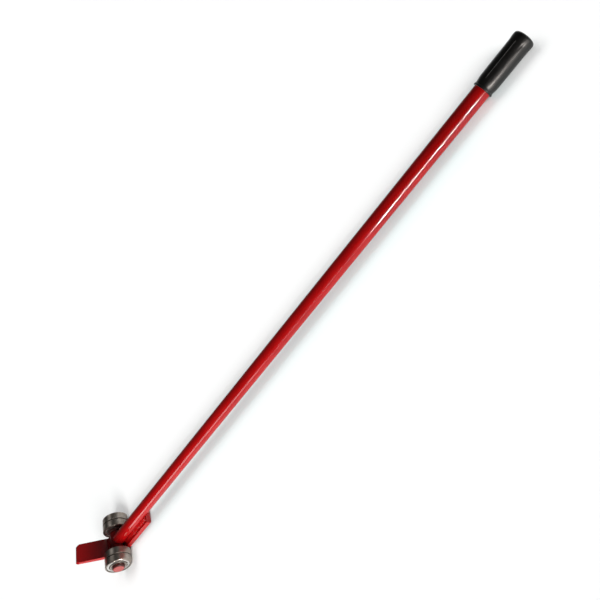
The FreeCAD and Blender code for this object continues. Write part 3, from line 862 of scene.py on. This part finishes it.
def grip_loops(grip, rings, turns):
    """A loop of points for each ring, with relief outside the lip's edge and the domed end."""
    loops = []
    for index, (x, radius) in enumerate(rings):
        loop = []
        for turn in turns:
            out = radius
            if index >= PLAIN_RINGS and radius > RIM_RADIUS_MM - END_ROUND_MM:
                out += grip_relief(x, turn)
            point = Vector((x, out * math.cos(turn), TUBE_RISE_MM + out * math.sin(turn)))
            loop.append(grip.verts.new(TOOL @ point))
        loops.append(loop)
    return loops


def make_grip(rubber, flash_and_highlight):
    """Push-on grip: rolled lip, neck, swelling body with parting lines, rim and domed end."""
    grip = bmesh.new()
    turns = grip_turns()
    rings = grip_rings()
    loops = grip_loops(grip, rings, turns)
    count = len(turns)
    for (x, _), before, after in zip(rings, loops, loops[1:]):
        for index in range(count):
            beyond = (index + 1) % count
            face = grip.faces.new((before[index], before[beyond], after[beyond], after[index]))
            ridge = max(parting_ridge(x, turns[index]), parting_ridge(x, turns[beyond]))
            face.material_index = 1 if ridge > FLASH_FROM else 0
    for loop, x in ((loops[0], TUBE_END_MM), (loops[-1], GRIP_END_MM + DOME_MM)):
        middle = grip.verts.new(TOOL @ Vector((x, 0.0, TUBE_RISE_MM)))
        for index in range(count):
            grip.faces.new((loop[index], loop[(index + 1) % count], middle))
    bmesh.ops.recalc_face_normals(grip, faces=grip.faces)
    mesh = bpy.data.meshes.new("grip_moulding")
    grip.to_mesh(mesh)
    grip.free()
    return add_piece("grip_moulding", mesh, [rubber, flash_and_highlight], "grip")


# ---- floor ----

FLOOR_RADIUS = 14.0
FLOOR_INNER_RADII = (0.5, 2.0, 6.0)
FLOOR_LIP = 1.0
FLOOR_LIP_STEPS = 6
FLOOR_COLUMNS = 96
FLOOR_DROP = 0.0002


def floor_rings():
    """Radius and height of the floor's rings: a flat disc, and a quarter round at its edge."""
    rings = [(radius, 0.0) for radius in (*FLOOR_INNER_RADII, FLOOR_RADIUS)]
    for part in range(1, FLOOR_LIP_STEPS + 1):
        turn = math.radians(90 * part / FLOOR_LIP_STEPS)
        rings.append((FLOOR_RADIUS + FLOOR_LIP * math.sin(turn), FLOOR_LIP * (1 - math.cos(turn))))
    return rings


def make_floor():
    """A wide disc of white paper that curls up at its far edge."""
    floor = bmesh.new()
    loops = []
    for radius, height in floor_rings():
        loop = []
        for index in range(FLOOR_COLUMNS):
            turn = 2 * math.pi * index / FLOOR_COLUMNS
            place = (radius * math.cos(turn), radius * math.sin(turn), height - FLOOR_DROP)
            loop.append(floor.verts.new(place))
        loops.append(loop)
    for before, after in zip(loops, loops[1:]):
        for index in range(FLOOR_COLUMNS):
            beyond = (index + 1) % FLOOR_COLUMNS
            floor.faces.new((before[index], after[index], after[beyond], before[beyond]))
    floor.faces.new(loops[0])
    bmesh.ops.recalc_face_normals(floor, faces=floor.faces)
    mesh = bpy.data.meshes.new("floor")
    floor.to_mesh(mesh)
    floor.free()
    paper = bpy.data.objects.new("floor", mesh)
    bpy.context.scene.collection.objects.link(paper)
    mesh.materials.append(make_floor_paper())
    mesh.shade_smooth()
    return paper


# ---- light ----

WHITE = (1.0, 1.0, 1.0)
WARM_WHITE = (1.0, 0.92, 0.86)
SKY_LOW = 0.30
SKY_HIGH = 0.03
SKY_HIGH_FROM = 0.62
STEEL_ENDINGS = ("_ring", "_shield_in", "_shield_out")

PAPER_LIGHT_DISTANCE = 3.0
PAPER_LIGHTS = (
    # name, elevation, turn towards +X, size, power; angles are in degrees
    ("paper_light_high", 90.0, 0.0, 100.0, 0.80),
    ("paper_light_front", 28.0, 30.0, 26.0, 3.55),
    ("paper_light_back", 62.0, -160.0, 40.0, 1.12),
)
PANELS = (
    # name, place, aimed at, width and height, power, colour, what it reaches, how it shows
    ("key", (-1.30, -0.95, 0.20), (-0.50, 0.0, 0.03), (1.3, 0.36), 8.5, WHITE, "tool", "BOTH"),
    ("fill", (-0.35, -1.00, 0.42), (-0.35, 0.0, 0.02), (1.5, 0.4), 7.0, WHITE, "tool", "DIFFUSE"),
    ("long_line", (0.0, -1.00, 0.075), (0.0, 0.0, 0.02), (1.2, 0.03), 1.6, WHITE, "tool", "GLOSS"),
    (
        "bright_line", (0.385, -0.98, 0.045), (0.385, 0.0, 0.02), (0.53, 0.02), 17.0,
        WARM_WHITE, "tool", "GLOSS",
    ),
    ("overhead", (-0.31, 0.68, 1.31), (-0.56, 0.0, 0.03), (0.6, 0.6), 1.1, WHITE, "steel", "GLOSS"),
    ("far_glow", (-1.76, 0.64, 0.64), (-0.56, 0.0, 0.03), (0.9, 0.5), 0.55, WHITE, "steel", "GLOSS"),
)


def make_sky():
    """A dim white sky, brighter near the horizon than overhead."""
    world = bpy.data.worlds.new("studio")
    bpy.context.scene.world = world
    world.use_nodes = True
    tree = world.node_tree
    background = tree.nodes["Background"]
    background.inputs["Color"].default_value = (*WHITE, 1.0)
    up = axes_of(tree, tree.nodes.new("ShaderNodeTexCoord").outputs["Generated"])[2]
    dimmed = spread(tree, up, 0.0, SKY_HIGH_FROM, SKY_LOW, SKY_HIGH)
    tree.links.new(dimmed, background.inputs["Strength"])


def light_group(name, things, state):
    """The only things some lights reach, or the things they leave out."""
    group = bpy.data.collections.new(name)
    for thing in things:
        group.objects.link(thing)
    for entry in group.collection_objects:
        entry.light_linking.link_state = state
    return group


def light_groups(floor):
    """What lights can reach: the paper, all but the paper, or the bearing steel."""
    steel = [thing for thing in bpy.context.scene.objects if thing.name.endswith(STEEL_ENDINGS)]
    return {
        "paper": light_group("paper_only", [floor], "INCLUDE"),
        "tool": light_group("tool_only", [floor], "EXCLUDE"),
        "steel": light_group("steel_only", steel, "INCLUDE"),
    }


def aim(thing, place, target):
    """Puts a lamp at a place, pointing at its target."""
    thing.location = place
    thing.rotation_mode = "QUATERNION"
    thing.rotation_quaternion = (Vector(target) - Vector(place)).to_track_quat("-Z", "Y")


def add_light(name, kind, power, receivers):
    """A lamp that reaches only its receivers."""
    data = bpy.data.lights.new(name, kind)
    data.energy = power
    light = bpy.data.objects.new(name, data)
    bpy.context.scene.collection.objects.link(light)
    light.light_linking.receiver_collection = receivers
    return light


def add_paper_light(name, elevation, turn_to_x, size, power, receivers):
    """A broad light far away, which makes the paper white and its shadows soft."""
    light = add_light(name, "SUN", power, receivers)
    light.data.angle = math.radians(size)
    rise = math.radians(elevation)
    turn = math.radians(turn_to_x)
    level = math.cos(rise)
    towards = Vector((math.sin(turn) * level, -math.cos(turn) * level, math.sin(rise)))
    aim(light, towards * PAPER_LIGHT_DISTANCE, Vector((0.0, 0.0, 0.0)))


def add_panel(name, place, target, size, power, colour, receivers, shows):
    """A rectangular soft box. It lights broad surfaces, or highlights, or both."""
    light = add_light(name, "AREA", power, receivers)
    light.data.shape = "RECTANGLE"
    light.data.size, light.data.size_y = size
    light.data.color = colour
    light.visible_diffuse = shows != "GLOSS"
    light.visible_glossy = shows != "DIFFUSE"
    aim(light, place, target)


def make_light(floor):
    """A dim sky, broad lights for the paper, and low soft boxes beside the tool."""
    make_sky()
    groups = light_groups(floor)
    for row in PAPER_LIGHTS:
        add_paper_light(*row, groups["paper"])
    for *row, reach, shows in PANELS:
        add_panel(*row, groups[reach], shows)


# ---- camera and sizes ----

CAMERA_PLACE = (0.43610, -0.60511, 0.53486)
CAMERA_RIGHT = Vector((0.57667, -0.32472, -0.74968))
CAMERA_UP = Vector((0.73320, 0.61047, 0.29957))
CAMERA_LENS_MM = 30.921
CAMERA_CLIP = (0.01, 100.0)
SENSOR_MM = 36.0


def make_camera():
    """The camera that sees the whole tool across the picture's diagonal."""
    data = bpy.data.cameras.new("camera")
    data.lens = CAMERA_LENS_MM
    data.sensor_width = SENSOR_MM
    data.clip_start, data.clip_end = CAMERA_CLIP
    camera = bpy.data.objects.new("camera", data)
    bpy.context.scene.collection.objects.link(camera)
    right = CAMERA_RIGHT.normalized()
    back = right.cross(CAMERA_UP).normalized()
    up = back.cross(right)
    turn = Matrix((right, up, back)).transposed()
    camera.matrix_world = Matrix.Translation(CAMERA_PLACE) @ turn.to_4x4()
    bpy.context.scene.camera = camera
    bpy.context.scene.view_settings.view_transform = "Standard"


materials = make_materials()
finish_nodes(materials)
for weld, ripple, seed in WELDS:
    make_bead(weld, ripple, seed, materials["red_paint"])
make_spatter(materials["red_paint"])
make_grip(materials["grip_rubber"], make_seam_flash_and_highlight())
make_light(make_floor())
make_camera()
